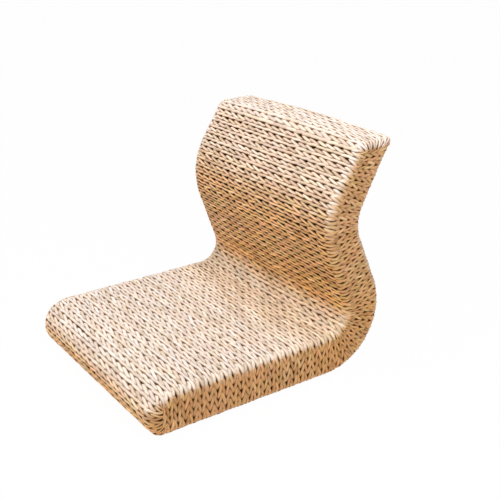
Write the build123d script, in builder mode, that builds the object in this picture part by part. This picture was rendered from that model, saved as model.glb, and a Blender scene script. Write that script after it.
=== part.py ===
# Legless floor chair: one S-curved shell of seat and back, a plywood frame padded all round
# and covered with rows of twined rush. It faces -Y and stands on the underside of its seat.
import os
from math import cos, degrees, pi, radians, sin, sqrt, tan

from build123d import *

os.makedirs("parts", exist_ok=True)

# Overall form, measured on the middle line of the profile (millimetres and degrees)
WIDTH = 420.0
SEAT_THICK = 76.0
LUMBAR_THICK = 70.5
TOP_THICK = 64.5
SEAT_RUN = 343.0
BEND_RADIUS = 73.5
BEND_ANGLE = 110.7
LOWER_BACK_RUN = 94.0
LUMBAR_RADIUS = 99.0
LUMBAR_ANGLE = 51.7
UPPER_BACK_RUN = 101.0

# Rounding of the covered edges
EDGE_RADIUS = 14.0
FRONT_CORNER_RADIUS = 24.0
END_LAND = 3.0

# Top end of the back: its face leans from square to the back, which leaves it level
TOP_TILT = 31.0

# Nose of the seat: its top falls forward in a long curve, its underside turns up in a short one
NOSE_RUN = 60.0
NOSE_FALL = 43.0
NOSE_TURN_UP = 24.0
NOSE_TIP = 0.6
NOSE_STEPS = 8

# Twined rush cover
COVER = 8.0
ROW_PITCH = 13.65
ROW_GAP = 0.4
ROW_DRAW = 1.8
SHOULDER_SHARE = 0.22

# Padding
FOAM = 13.0
WADDING = 5.0
SIDE_WADDING = 6.0
LAYER_GAP = 0.3

# Wooden frame
FACE_BOARD = 4.0
REAR_BOARD = 3.0
FRAME_THICK = 18.0
RAIL_WIDTH = 34.0

# Through tenons that hold the rails in the side frames
TENON_SHOULDER = 4.0
TENON_CLEARANCE = 0.15

# The middle line: straight seat, bend up, lower back leaning forward, lumbar bend, upper back
ZONES = (
    (SEAT_RUN, 0.0),
    (BEND_RADIUS * radians(BEND_ANGLE), 1.0 / BEND_RADIUS),
    (LOWER_BACK_RUN, 0.0),
    (LUMBAR_RADIUS * radians(LUMBAR_ANGLE), -1.0 / LUMBAR_RADIUS),
    (UPPER_BACK_RUN, 0.0),
)
SEAT_END = SEAT_RUN
BEND_END = SEAT_END + ZONES[1][0]
LOWER_END = BEND_END + ZONES[2][0]
LUMBAR_END = LOWER_END + ZONES[3][0]
TOP_END = LUMBAR_END + ZONES[4][0]
ZONE_ENDS = (SEAT_END, BEND_END, LOWER_END, LUMBAR_END)

# The front and top ends of the cover are closed caps, as deep as their corners need
FRONT_CAP = NOSE_RUN + END_LAND
TOP_STRETCH = 1 / cos(radians(TOP_TILT))
TOP_LENGTH = TOP_THICK * TOP_STRETCH
TOP_LEAD = TOP_THICK / 2 * tan(radians(TOP_TILT))
TOP_CAP = EDGE_RADIUS + END_LAND + TOP_LEAD
TOP_ROUND = EDGE_RADIUS - ROW_DRAW
CORE_START = FRONT_CAP
CORE_END = TOP_END - TOP_CAP


def middle(s):
    """Place (y, z) and heading of the middle line, s from the front face."""
    y, z, heading = 0.0, SEAT_THICK / 2, 0.0
    for length, turn in ZONES:
        step = min(s, length)
        if turn:
            y += (sin(heading + turn * step) - sin(heading)) / turn
            z -= (cos(heading + turn * step) - cos(heading)) / turn
        else:
            y += step * cos(heading)
            z += step * sin(heading)
        heading += turn * step
        s -= step
    return y, z, heading


def half(s):
    """Half of the thickness of the chair at s."""
    if s <= BEND_END:
        return SEAT_THICK / 2
    if s <= LOWER_END:
        return (SEAT_THICK + (LUMBAR_THICK - SEAT_THICK) * (s - BEND_END) / LOWER_BACK_RUN) / 2
    if s <= LUMBAR_END:
        return LUMBAR_THICK / 2
    share = min((s - LUMBAR_END) / (CORE_END - LUMBAR_END), 1.0)
    return (LUMBAR_THICK + (TOP_THICK - LUMBAR_THICK) * share) / 2


def round_depths(radius):
    """Depths at which a rounded end is given a section."""
    return [radius * (1 - cos(pi / 8 * i)) for i in range(5)]


def inset(depth, radius):
    """How far a rounded end is drawn in at a depth behind its face."""
    if depth >= radius:
        return 0.0
    return radius - sqrt(radius**2 - (radius - depth) ** 2)


# The rear top edge or the outside of the bend reaches furthest back, and sets the depth
TOP_Y, TOP_Z, TOP_HEADING = middle(TOP_END)
TOP_FACING = TOP_HEADING + radians(TOP_TILT)
DEPTH = SEAT_RUN + BEND_RADIUS + SEAT_THICK / 2
for depth in round_depths(TOP_ROUND):
    reach = TOP_LENGTH / 2 - inset(depth, TOP_ROUND)
    fall = depth * TOP_STRETCH
    DEPTH = max(DEPTH, TOP_Y - fall * cos(TOP_HEADING) + reach * sin(TOP_FACING))


def station(s):
    """The middle line with the origin under the middle of the chair."""
    y, z, heading = middle(s)
    return y - DEPTH / 2, z, heading


def point(s, offset):
    """Point of the profile at s, offset towards the sitter."""
    y, z, heading = station(s)
    return y - offset * sin(heading), z + offset * cos(heading)


def square_plane(y, z, heading):
    """Plane across the chair, square to a heading, its y towards the sitter."""
    return Plane(origin=(0, y, z), x_dir=(1, 0, 0), z_dir=(0, -cos(heading), -sin(heading)))


def cross_plane(s):
    """Plane square to the middle line."""
    return square_plane(*station(s))


def top_plane(depth):
    """Plane at a depth under the face of the top end."""
    y, z = station(TOP_END - depth * TOP_STRETCH)[:2]
    return square_plane(y, z, TOP_FACING)


def rail_plane(s, offset):
    """Plane across the chair for a rail, its x along the profile."""
    y, z = point(s, offset)
    heading = station(s)[2]
    return Plane(origin=(0, y, z), x_dir=(0, cos(heading), sin(heading)), z_dir=(1, 0, 0))


def below_face(depth):
    """Line at a depth under the seat's top and the front of the back."""
    return lambda s: half(s) - depth


def above_base(depth):
    """Line at a depth under the chair's underside and rear."""
    return lambda s: depth - half(s)


def band(x, upper, lower, start, end):
    """Face in the plane at x between two lines that follow the profile."""
    stops = [start] + [stop for stop in ZONE_ENDS if start + 0.01 < stop < end - 0.01] + [end]
    with BuildSketch(Plane.YZ.offset(x)) as outline:
        with BuildLine():
            for line in (upper, lower):
                for a, b in zip(stops, stops[1:]):
                    m = (a + b) / 2
                    if SEAT_END < m < BEND_END or LOWER_END < m < LUMBAR_END:
                        ThreePointArc(point(a, line(a)), point(m, line(m)), point(b, line(b)))
                    else:
                        Line(point(a, line(a)), point(b, line(b)))
            for s in (start, end):
                Line(point(s, upper(s)), point(s, lower(s)))
        make_face()
    return outline.sketch


# Depths of the layers, from the sitter's side and from the underside and rear
FOAM_TOP = COVER + LAYER_GAP
FOAM_BASE = FOAM_TOP + FOAM
BOARD_TOP = FOAM_BASE + LAYER_GAP
BOARD_BASE = BOARD_TOP + FACE_BOARD
FRAME_TOP = BOARD_BASE + LAYER_GAP
WADDING_OUT = COVER + LAYER_GAP
WADDING_IN = WADDING_OUT + WADDING
REAR_BOARD_OUT = WADDING_IN + LAYER_GAP
REAR_BOARD_IN = REAR_BOARD_OUT + REAR_BOARD
FRAME_REAR = REAR_BOARD_IN + LAYER_GAP

# Half widths of the layers
PAD_HALF = WIDTH / 2 - COVER - LAYER_GAP
FRAME_HALF = PAD_HALF - SIDE_WADDING - LAYER_GAP
RAIL_HALF = FRAME_HALF - FRAME_THICK

# Rails, each by its place along the profile, in the middle of the frame's depth
RAILS = {
    "front_rail": CORE_START + RAIL_WIDTH / 2,
    "seat_rail": (CORE_START + SEAT_END) / 2,
    "bend_rail": (SEAT_END + BEND_END) / 2,
    "lower_back_rail": (BEND_END + LOWER_END) / 2,
    "lumbar_rail": (LOWER_END + LUMBAR_END) / 2,
    "top_rail": CORE_END - RAIL_WIDTH / 2,
}
FRAME_SHIFT = (FRAME_REAR - FRAME_TOP) / 2


def rail_depth(s):
    """Depth of a rail, flush with the frame where it is thinnest and clear of curved boards."""
    thinnest = min(half(s - RAIL_WIDTH / 2), half(s + RAIL_WIDTH / 2))
    bow = 0.0
    if SEAT_END < s < BEND_END:
        bow = RAIL_WIDTH**2 / (8 * BEND_RADIUS)
    if LOWER_END < s < LUMBAR_END:
        bow = RAIL_WIDTH**2 / (8 * LUMBAR_RADIUS)
    return 2 * (thinnest - bow) - FRAME_TOP - FRAME_REAR


# Side frames of plywood, cut to the profile, with a mortise for every rail
for side, hand in ((1, "left"), (-1, "right")):
    with BuildPart() as side_frame:
        middle_x = side * (RAIL_HALF + FRAME_THICK / 2)
        profile = band(middle_x, below_face(FRAME_TOP), above_base(FRAME_REAR), CORE_START, CORE_END)
        extrude(profile, amount=FRAME_THICK / 2, both=True)
        for s in RAILS.values():
            with BuildSketch(rail_plane(s, FRAME_SHIFT)):
                room = 2 * (TENON_CLEARANCE - TENON_SHOULDER)
                Rectangle(RAIL_WIDTH + room, rail_depth(s) + room)
            extrude(amount=side * WIDTH / 2, mode=Mode.SUBTRACT)
    side_frame.part.label = "side_frame_" + hand
    export_step(side_frame.part, "parts/side_frame_" + hand + ".step")

# Rails between the side frames, their tenons flush with the frames' outer faces
for name, s in RAILS.items():
    with BuildPart() as rail:
        with BuildSketch(rail_plane(s, FRAME_SHIFT)):
            Rectangle(RAIL_WIDTH, rail_depth(s))
        extrude(amount=RAIL_HALF, both=True)
        with BuildSketch(rail_plane(s, FRAME_SHIFT)):
            Rectangle(RAIL_WIDTH - 2 * TENON_SHOULDER, rail_depth(s) - 2 * TENON_SHOULDER)
        extrude(amount=FRAME_HALF, both=True)
    rail.part.label = name
    export_step(rail.part, "parts/" + name + ".step")

# Layers across the chair: names on seat and back, upper line, lower line, half width
LAYERS = (
    ("seat_board", "back_board", below_face(BOARD_TOP), below_face(BOARD_BASE), FRAME_HALF),
    ("base_board", "rear_board", above_base(REAR_BOARD_IN), above_base(REAR_BOARD_OUT), FRAME_HALF),
    ("seat_foam", "back_foam", below_face(FOAM_TOP), below_face(FOAM_BASE), PAD_HALF),
    ("base_wadding", "rear_wadding", above_base(WADDING_IN), above_base(WADDING_OUT), PAD_HALF),
)
for seat_name, back_name, upper, lower, half_width in LAYERS:
    for name, start, end in (
        (seat_name, CORE_START, SEAT_END),
        (back_name, SEAT_END + LAYER_GAP, CORE_END),
    ):
        with BuildPart() as layer:
            extrude(band(0, upper, lower, start, end), amount=half_width, both=True)
        layer.part.label = name
        export_step(layer.part, "parts/" + name + ".step")

# Wadding down the outer faces of the side frames and the edges of the boards
for side, hand in ((1, "left"), (-1, "right")):
    with BuildPart() as side_wadding:
        middle_x = side * (PAD_HALF - SIDE_WADDING / 2)
        profile = band(middle_x, below_face(BOARD_TOP), above_base(REAR_BOARD_OUT), CORE_START, CORE_END)
        extrude(profile, amount=SIDE_WADDING / 2, both=True)
    side_wadding.part.label = "side_wadding_" + hand
    export_step(side_wadding.part, "parts/side_wadding_" + hand + ".step")


def nose(depth, skin):
    """Heights of the nose's underside and top at a depth, on a surface under a skin."""
    fall, rise = NOSE_FALL - skin, SEAT_THICK - NOSE_FALL - skin
    top = SEAT_THICK - skin - fall * inset(depth - skin, NOSE_RUN - skin) / (NOSE_RUN - skin)
    base = skin + rise * inset(depth - skin, NOSE_TURN_UP - skin) / (NOSE_TURN_UP - skin)
    return base, top


def nose_depths(skin):
    """Depths at which the nose is given a section, closer together at its tip."""
    steps = [1 - cos(pi / 2 * i / NOSE_STEPS) for i in range(1, NOSE_STEPS + 1)]
    return [skin + (NOSE_RUN - skin) * step for step in steps]


def nose_filling(depth, shape_depth, skin):
    """Section of what fills the nose under a skin."""
    base, top = nose(shape_depth, skin)
    narrow = skin + inset(shape_depth - skin, FRONT_CORNER_RADIUS - skin)
    with BuildSketch(cross_plane(depth)) as section:
        with Locations((0, (base + top - SEAT_THICK) / 2)):
            Rectangle(WIDTH - 2 * narrow, top - base)
    return section.sketch


def filled_nose(skin, end):
    """The nose under a skin, from its tip to an end square to the seat."""
    sections = [nose_filling(skin, skin + NOSE_TIP, skin)]
    sections += [nose_filling(depth, depth, skin) for depth in nose_depths(skin) + [end]]
    return sections


# Foam in the nose of the seat, behind the front end of the cover
with BuildPart() as front_edge_foam:
    loft(filled_nose(COVER + LAYER_GAP, FRONT_CAP - LAYER_GAP), ruled=True)
front_edge_foam.part.label = "front_edge_foam"
export_step(front_edge_foam.part, "parts/front_edge_foam.step")


def filled_top(skin, start):
    """The top end under a skin, from a start square to the back up to its face."""
    sections = []
    for plane, stretch in ((cross_plane(start), 1.0), (top_plane(skin), TOP_STRETCH)):
        with BuildSketch(plane) as section:
            Rectangle(WIDTH - 2 * skin, (TOP_THICK - 2 * skin) * stretch)
        sections.append(section.sketch)
    return sections


# Foam under the top end of the cover
with BuildPart() as top_edge_foam:
    loft(filled_top(COVER + LAYER_GAP, CORE_END + LAYER_GAP), ruled=True)
top_edge_foam.part.label = "top_edge_foam"
export_step(top_edge_foam.part, "parts/top_edge_foam.step")


def row_spans(start, end, count):
    """Where each of a number of equal rows starts and ends along the middle line."""
    pitch = (end - start) / count
    spans = []
    for i in range(count):
        spans.append((start + i * pitch + ROW_GAP / 2, start + (i + 1) * pitch - ROW_GAP / 2))
    return spans


def row_sections(a, b):
    """Places of a row's four sections, and how far its outside is drawn in at each."""
    shoulder = SHOULDER_SHARE * (b - a)
    return ((a, ROW_DRAW), (a + shoulder, 0.0), (b - shoulder, 0.0), (b, ROW_DRAW))


# Two cuts on a corner leave three flats that all touch the rounding's circle
FIRST_CUT = 1 - tan(pi / 8)
SECOND_CUT = tan(pi / 8) - tan(pi / 16)


def rounded(width, thickness, radius):
    """Rectangle in the sketch at hand, with its corners cut to three flats."""
    Rectangle(width, thickness)
    chamfer(vertices(), length=FIRST_CUT * radius)
    chamfer(vertices(), length=SECOND_CUT * radius)


def outside(s, narrow, thin):
    """Section of the cover's outside, drawn in at the sides and at the faces."""
    with BuildSketch(cross_plane(s)) as section:
        rounded(WIDTH - 2 * narrow, 2 * (half(s) - thin), max(EDGE_RADIUS - thin, END_LAND))
    return section.sketch


def inside(s):
    """Section of the cover's inside, which the core fills."""
    with BuildSketch(cross_plane(s)) as section:
        Rectangle(WIDTH - 2 * COVER, 2 * (half(s) - COVER))
    return section.sketch


def one_face(s, draw, face):
    """Section of the cover over one face, down to half way on both sides."""
    with BuildSketch(cross_plane(s)) as section:
        rounded(WIDTH - 2 * draw, 2 * (half(s) - draw), EDGE_RADIUS - draw)
        Rectangle(WIDTH - 2 * COVER, 2 * (half(s) - COVER), mode=Mode.SUBTRACT)
        with Locations((0, face * (ROW_GAP / 2 - half(s)))):
            Rectangle(2 * WIDTH, 2 * half(s), mode=Mode.SUBTRACT)
    return section.sketch


def full_row(a, b):
    """A row of weave all the way round the core."""
    with BuildPart() as row:
        loft([outside(s, draw, draw) for s, draw in row_sections(a, b)], ruled=True)
        loft([inside(a), inside(b)], ruled=True, mode=Mode.SUBTRACT)
    return row.part


def short_row(a, b, face):
    """A row over one face of a bend, that ends half way down both sides."""
    with BuildPart() as row:
        loft([one_face(s, draw, face) for s, draw in row_sections(a, b)], ruled=True)
    return row.part


# Full rows round the seat, the lower back and the upper back
for name, start, end in (
    ("seat_rows", FRONT_CAP, SEAT_END),
    ("lower_back_rows", BEND_END, LOWER_END),
    ("upper_back_rows", LUMBAR_END, CORE_END),
):
    spans = row_spans(start, end, round((end - start) / ROW_PITCH))
    woven = [full_row(a, b) for a, b in spans]
    with BuildPart() as rows:
        add(woven, clean=False)
    rows.part.label = name
    export_step(rows.part, "parts/" + name + ".step")

# Short rows fan round the two bends, so that both faces keep the pitch of the weave
for name, start, end, radius, face, reach in (
    ("bend_inner_rows", SEAT_END, BEND_END, BEND_RADIUS, 1, -SEAT_THICK / 2),
    ("bend_outer_rows", SEAT_END, BEND_END, BEND_RADIUS, -1, SEAT_THICK / 2),
    ("lumbar_front_rows", LOWER_END, LUMBAR_END, LUMBAR_RADIUS, 1, LUMBAR_THICK / 2),
    ("lumbar_rear_rows", LOWER_END, LUMBAR_END, LUMBAR_RADIUS, -1, -LUMBAR_THICK / 2),
):
    face_length = (end - start) * (radius + reach) / radius
    spans = row_spans(start, end, round(face_length / ROW_PITCH))
    woven = [short_row(a, b, face) for a, b in spans]
    with BuildPart() as rows:
        add(woven, clean=False)
    rows.part.label = name
    export_step(rows.part, "parts/" + name + ".step")


def nose_outside(depth, shape_depth):
    """Section of the cover's outside over the nose."""
    base, top = nose(shape_depth, 0)
    narrow = inset(shape_depth, FRONT_CORNER_RADIUS)
    with BuildSketch(cross_plane(depth)) as section:
        with Locations((0, (base + top - SEAT_THICK) / 2)):
            rounded(WIDTH - 2 * narrow, top - base, min(EDGE_RADIUS, 0.4 * (top - base)))
    return section.sketch


# Rows of the front end, each by its depth, its height and the slope of the nose there
NOSE_ROWS = []
for i in range(1, 6):
    turn = pi / 2 * i / 6
    slope = degrees(turn)
    NOSE_ROWS.append((NOSE_RUN * (1 - sin(turn)), SEAT_THICK - NOSE_FALL * (1 - cos(turn)), slope))
for i in range(0, 3):
    turn = pi / 2 * i / 3
    rise = SEAT_THICK - NOSE_FALL
    NOSE_ROWS.append((NOSE_TURN_UP * (1 - cos(turn)), rise * (1 - sin(turn)), degrees(turn)))

# Front end of the cover, a closed cap over the nose with its rows along the width
front_sections = [nose_outside(0, NOSE_TIP)]
for depth in nose_depths(0) + [FRONT_CAP - ROW_GAP / 2]:
    front_sections.append(nose_outside(depth, depth))
with BuildPart() as front_end_weave:
    loft(front_sections, ruled=True)
    loft(filled_nose(COVER, FRONT_CAP), ruled=True, mode=Mode.SUBTRACT)
    with BuildSketch(Plane.YZ):
        for depth, height, slope in NOSE_ROWS:
            with Locations((depth - DEPTH / 2, height)):
                Rectangle(2 * ROW_DRAW, 2 * ROW_DRAW, rotation=slope + 45)
    extrude(amount=WIDTH / 2 - FRONT_CORNER_RADIUS, both=True, mode=Mode.SUBTRACT)
front_end_weave.part.label = "front_end_weave"
export_step(front_end_weave.part, "parts/front_end_weave.step")


def top_outside(depth):
    """Section of the cover's outside at a depth under the face of the top end."""
    drawn = inset(depth, TOP_ROUND)
    with BuildSketch(top_plane(depth)) as section:
        rounded(WIDTH - 2 * drawn, TOP_LENGTH - 2 * drawn, max(EDGE_RADIUS - drawn, END_LAND))
    return section.sketch


# Rows of the top end: on its face, and on the rear of the wedge under it
top_count = round((TOP_LENGTH - 2 * TOP_ROUND) / ROW_PITCH)
top_step = (TOP_LENGTH - 2 * TOP_ROUND) / top_count
TOP_ROWS = []
for i in range(1, top_count):
    offset = (i - top_count / 2) * top_step
    across = TOP_Y - DEPTH / 2 - offset * sin(TOP_FACING)
    TOP_ROWS.append(((across, TOP_Z + offset * cos(TOP_FACING)), degrees(TOP_FACING)))
rear_run = TOP_CAP + TOP_LEAD - TOP_ROUND * TOP_STRETCH
for i in range(1, int(rear_run / ROW_PITCH) + 1):
    TOP_ROWS.append((point(CORE_END + i * ROW_PITCH, -TOP_THICK / 2), degrees(TOP_HEADING)))

# Top end of the cover, a closed wedge with its rows along the width too
top_sections = [outside(CORE_END + ROW_GAP / 2, 0, 0)]
top_sections += [top_outside(depth) for depth in reversed(round_depths(TOP_ROUND))]
with BuildPart() as top_end_weave:
    loft(top_sections, ruled=True)
    loft(filled_top(COVER, CORE_END), ruled=True, mode=Mode.SUBTRACT)
    with BuildSketch(Plane.YZ):
        for place, slope in TOP_ROWS:
            with Locations(place):
                Rectangle(2 * ROW_DRAW, 2 * ROW_DRAW, rotation=slope + 45)
    extrude(amount=WIDTH / 2 - EDGE_RADIUS, both=True, mode=Mode.SUBTRACT)
top_end_weave.part.label = "top_end_weave"
export_step(top_end_weave.part, "parts/top_end_weave.step")

print("depth %.1f mm, profile %.1f mm long" % (DEPTH, TOP_END))
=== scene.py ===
# %% [markdown]
# The object is a legless floor chair. A stiff padded body, bent like an S, is wrapped from the
# front edge to the top edge in one cover of twined rush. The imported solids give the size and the
# place of every piece, so the lesson starts by loading them and keeping their box.

# %% Load the frame
from math import cos, pi, radians, sin, sqrt, tan

import bmesh
import bpy
import numpy as np
from mathutils import Matrix, Vector


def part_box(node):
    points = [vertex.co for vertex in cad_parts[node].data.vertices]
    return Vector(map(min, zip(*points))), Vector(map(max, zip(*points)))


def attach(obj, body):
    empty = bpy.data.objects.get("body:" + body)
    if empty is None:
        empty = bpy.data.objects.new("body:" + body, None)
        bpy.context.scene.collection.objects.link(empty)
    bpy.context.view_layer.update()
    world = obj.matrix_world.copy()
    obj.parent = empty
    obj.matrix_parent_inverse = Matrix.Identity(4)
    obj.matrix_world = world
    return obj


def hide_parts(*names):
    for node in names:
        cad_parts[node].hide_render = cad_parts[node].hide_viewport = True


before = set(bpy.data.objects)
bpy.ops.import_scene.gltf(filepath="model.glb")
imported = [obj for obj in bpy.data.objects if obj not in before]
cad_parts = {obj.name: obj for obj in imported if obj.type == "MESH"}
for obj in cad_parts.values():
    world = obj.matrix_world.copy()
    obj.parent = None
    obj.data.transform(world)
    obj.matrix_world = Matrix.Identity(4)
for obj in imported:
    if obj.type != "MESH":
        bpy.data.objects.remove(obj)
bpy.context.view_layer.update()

print("nodes", len(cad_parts))

# %% [markdown]
# The chair's side view is a line of straight runs and arcs with a thickness on both sides of it.
# The weave could be modelled on a mesh drawn by eye, but the same few numbers that shape the solids
# give every point of the cover and the direction it faces, so the rows land where the solids are.

# %% Sizes of the chair
MM = 0.001
WIDTH = 420 * MM
SEAT_THICK, LUMBAR_THICK, TOP_THICK = 76 * MM, 70.5 * MM, 64.5 * MM
SEAT_RUN, LOWER_BACK_RUN, UPPER_BACK_RUN = 343 * MM, 94 * MM, 101 * MM
BEND_RADIUS, BEND_ANGLE = 73.5 * MM, radians(110.7)
LUMBAR_RADIUS, LUMBAR_ANGLE = 99 * MM, radians(51.7)
NOSE_RUN, NOSE_FALL, NOSE_TURN_UP = 60 * MM, 43 * MM, 24 * MM
EDGE_RADIUS, FRONT_CORNER, TOP_ROUND = 14 * MM, 24 * MM, 12.2 * MM
FRONT_CAP, TOP_LAND = 63 * MM, 17 * MM
TOP_TILT = radians(31.0)
TOP_STRETCH, TOP_LEAD = 1 / cos(TOP_TILT), TOP_THICK / 2 * tan(TOP_TILT)
FRONT_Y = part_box("front_end_weave")[0][1]
ZONES = (
    (SEAT_RUN, 0),
    (BEND_RADIUS * BEND_ANGLE, 1 / BEND_RADIUS),
    (LOWER_BACK_RUN, 0),
    (LUMBAR_RADIUS * LUMBAR_ANGLE, -1 / LUMBAR_RADIUS),
    (UPPER_BACK_RUN, 0),
)
ZONE_ENDS = np.cumsum([length for length, turn in ZONES])
TOP_END = ZONE_ENDS[4]
CORE_END = TOP_END - TOP_LAND - TOP_LEAD
print("front at %.4f m, middle line %.1f mm long" % (FRONT_Y, TOP_END / MM))


# %% The side view
def middle(s):
    """Place and heading of the middle line at s from the front face."""
    y, z, heading = FRONT_Y, SEAT_THICK / 2, 0.0
    for length, turn in ZONES:
        step = s if length == UPPER_BACK_RUN else min(s, length)
        if turn:
            y += (sin(heading + turn * step) - sin(heading)) / turn
            z -= (cos(heading + turn * step) - cos(heading)) / turn
        else:
            y += step * cos(heading)
            z += step * sin(heading)
        heading += turn * step
        s -= step
    return y, z, heading


HALF_STATIONS = (ZONE_ENDS[1], ZONE_ENDS[2], ZONE_ENDS[3], CORE_END)
HALF_SIZES = (SEAT_THICK / 2, LUMBAR_THICK / 2, LUMBAR_THICK / 2, TOP_THICK / 2)


def half(s):
    """Half of the chair's thickness at s."""
    return float(np.interp(s, HALF_STATIONS, HALF_SIZES))


def profile(s, offset):
    """Point (y, z) at s, offset towards the sitter, and the direction towards the sitter."""
    y, z, heading = middle(s)
    facing = (-sin(heading), cos(heading))
    return y + offset * facing[0], z + offset * facing[1], facing


print("middle line ends at", [round(c, 4) for c in profile(TOP_END, 0)[:2]])

# %% [markdown]
# The front of the seat is a soft nose. Its top falls forward along a quarter of a long ellipse, and
# its underside turns up along a short one. A bevel could round it, but would make both halves
# alike, so both are worked out from the depth behind the front.

# %% The nose
TINY = 1e-6


def round_off(depth, run):
    """Share of a quarter ellipse's height that is reached at a depth."""
    return sqrt(max(1 - (max(run - depth, 0.0) / run) ** 2, TINY))


def nose_heights(depth, skin):
    """Heights of the nose's underside and top at a depth, on a surface under a skin."""
    fall, rise = NOSE_FALL - skin, SEAT_THICK - NOSE_FALL - skin
    top = SEAT_THICK - skin - fall * (1 - round_off(depth - skin, NOSE_RUN - skin))
    base = skin + rise * (1 - round_off(depth - skin, NOSE_TURN_UP - skin))
    return base, top


def sitter_height(s):
    """Distance of the sitter's face from the middle line, with the nose's fall."""
    if s >= NOSE_RUN:
        return half(s)
    return nose_heights(s, 0.0)[1] - SEAT_THICK / 2


def sitter_facing(s):
    """Direction of the sitter's face, tipped forward on the nose."""
    if s >= NOSE_RUN:
        return profile(s, 0)[2]
    slope = NOSE_FALL * (NOSE_RUN - s) / (NOSE_RUN**2 * round_off(s, NOSE_RUN))
    length = sqrt(1 + slope**2)
    return -slope / length, 1 / length


level_nose = nose_heights(NOSE_TURN_UP, 0.0)
print("nose where its underside is level:", [round(h / MM, 1) for h in level_nose], "mm")

# %% [markdown]
# A weaver counts a cover in rows and stitches. One row runs across the width and over the rounded
# side edges, and another set of rows runs down the sides. So the cover can be laid out flat, like
# cloth on a loom, with the stitch along x and the row along y. In the tight bend the sitter's side
# has few rows, the sides more and the floor side most, which is how a weaver turns a corner.

# %% Stitches and rows on the loom
FACE_STITCHES, SIDE_STITCHES = 18, 3
FACE_HALF = WIDTH / 2 - EDGE_RADIUS
STITCH = 2 * FACE_HALF / FACE_STITCHES
ROW = 13.65 * MM
TOP_START, BASE_START = 24 * MM, 24 * MM
NOSE_ROWS = 3
SITTER_ROWS = (NOSE_ROWS, 19, 5, 7, 9, 5)
SIDE_ROWS = (NOSE_ROWS, 19, 11, 7, 7, 6)
REAR_ROWS = (NOSE_ROWS, 19, 16, 7, 4, 8)
NOSE_POINTS = 60
nose_depths = np.linspace(TOP_START, FRONT_CAP, NOSE_POINTS)
nose_tops = [nose_heights(depth, 0.0)[1] for depth in nose_depths]
nose_steps = np.hypot(np.diff(nose_depths), np.diff(nose_tops))
nose_lengths = np.concatenate([[0], np.cumsum(nose_steps)])


def rows_end(offset):
    """Station where the rows stop under the level top, at an offset towards the sitter."""
    return CORE_END + TOP_LEAD - offset * tan(TOP_TILT)


def row_to_station(row, rows, start, end):
    """Station s of a row number counted from the front."""
    stations = np.concatenate([[start, FRONT_CAP], ZONE_ENDS[:4], [end]])
    ends = np.concatenate([[0], np.cumsum(rows)])
    if row < 0:
        return start + row * ROW
    if row > ends[-1]:
        return end + (row - ends[-1]) * ROW
    if row < NOSE_ROWS and start == TOP_START:
        return float(np.interp(row / NOSE_ROWS * nose_lengths[-1], nose_lengths, nose_depths))
    return float(np.interp(row, ends, stations))


print("stitch %.2f mm, rows %d on the sitter's side" % (STITCH / MM, sum(SITTER_ROWS)))

# %% [markdown]
# The form is the surface that the cover is pulled over. The strands could be bent over it one by
# one. Instead it is a fine grid of points with two notes at each point: where the point lies on the
# flat loom, and which way the cover faces there. With those notes all strands can be laid flat,
# where they are easy to count, and then put in their places on the chair together. The first forms
# are the sitter's side, and the floor side with the rear. Their last stitch goes over the side
# edge.

# %% Rows over the faces
EDGE_STITCHES = 1


def over_edge(stitch, flat, radius, edge_stitches):
    """Distance out from the middle, turn over the edge and length past it, at a stitch."""
    count = abs(stitch) - FACE_STITCHES / 2
    if count <= 0:
        return abs(stitch) / (FACE_STITCHES / 2) * flat, 0.0, 0.0
    turn = min(count / edge_stitches, 1.0) * pi / 2
    past = max(count - edge_stitches, 0.0) * STITCH
    return flat + radius * sin(turn), turn, past


def face_point(s, side, stitch):
    """Point and facing of the cover at s, on the sitter's side (1) or the rear (-1)."""
    x, turn, past = over_edge(stitch, FACE_HALF, EDGE_RADIUS, EDGE_STITCHES)
    drop = EDGE_RADIUS * (1 - cos(turn)) + past
    height = sitter_height(s) if side > 0 else half(s)
    y, z, facing = profile(s, side * (height - drop))
    if side > 0:
        facing = sitter_facing(s)
    hand = 1 if stitch >= 0 else -1
    out = (hand * sin(turn), side * facing[0] * cos(turn), side * facing[1] * cos(turn))
    return (hand * x, y, z), out


def sitter_point(row, stitch):
    """Point and facing on the sitter's side, rows counted from the front."""
    s = row_to_station(row, SITTER_ROWS, TOP_START, rows_end(TOP_THICK / 2))
    return face_point(s, 1, stitch)


def rear_point(row, stitch):
    """Point and facing on the floor side and the rear, rows counted from the top."""
    s = row_to_station(sum(REAR_ROWS) - row, REAR_ROWS, BASE_START, rows_end(-TOP_THICK / 2))
    return face_point(s, -1, stitch)


SAMPLE_ROW = 9
print("middle of a row of the seat:", [round(c, 4) for c in sitter_point(SAMPLE_ROW, 0)[0]])


# %% Rows down the sides
def side_point(row, hand, stitch):
    """Point and facing of the cover on a side, the stitch counted towards the sitter."""
    across = stitch / (SIDE_STITCHES / 2) * (TOP_THICK / 2 - EDGE_RADIUS)
    s = row_to_station(row, SIDE_ROWS, TOP_START, rows_end(across))
    upper, lower = sitter_height(s) - EDGE_RADIUS, EDGE_RADIUS - half(s)
    centre, reach = (upper + lower) / 2, (upper - lower) / 2
    count = abs(stitch) - SIDE_STITCHES / 2
    towards = 1 if stitch >= 0 else -1
    turn = min(max(count, 0.0) * STITCH / EDGE_RADIUS, pi / 2)
    offset = centre + stitch / (SIDE_STITCHES / 2) * reach
    if count > 0:
        offset = centre + towards * (reach + EDGE_RADIUS * sin(turn))
    y, z, facing = profile(s, offset)
    x = WIDTH / 2 - EDGE_RADIUS * (1 - cos(turn))
    lift = towards * sin(turn)
    return (hand * x, y, z), (hand * cos(turn), facing[0] * lift, facing[1] * lift)


def left_point(row, stitch):
    """Point and facing on the left side, rows counted from the top."""
    return side_point(sum(SIDE_ROWS) - row, 1, stitch)


def right_point(row, stitch):
    """Point and facing on the right side, rows counted from the front."""
    return side_point(row, -1, stitch)


print("middle of a row of the side:", [round(c, 4) for c in right_point(SAMPLE_ROW, 0)[0]])

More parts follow.
